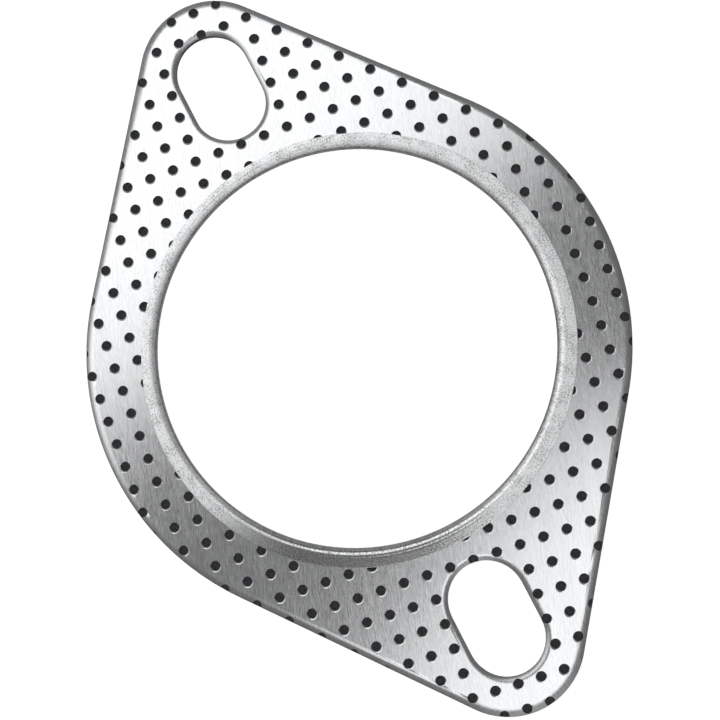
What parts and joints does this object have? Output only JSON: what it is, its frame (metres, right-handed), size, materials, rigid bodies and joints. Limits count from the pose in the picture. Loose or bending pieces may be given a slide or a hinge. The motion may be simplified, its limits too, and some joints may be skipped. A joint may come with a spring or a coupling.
{
  "type": "exhaust gasket",
  "caption": "Flat two-bolt exhaust flange gasket: graphite core between perforated steel facings, clamped round its bore by a folded steel ring, with a bolt slot at each end.",
  "frame": {"origin": "on the bore's axis, in the plane that the gasket lies on", "axes": "+Z along the bore, towards the front facing; +X along the bolt line"},
  "size_m": [0.1256, 0.0866, 0.0021],
  "materials": {
    "facing_steel": "bright brushed steel sheet with a satin reflection",
    "ring_steel": "grainy zinc-like steel sheet with fine concentric lines",
    "graphite": "dull dark grey pressed graphite"
  },
  "bodies": {
    "root": {"facing_front": "facing_steel", "core": "graphite", "facing_back": "facing_steel", "bore_ring": "ring_steel"}
  },
  "joints": []
}
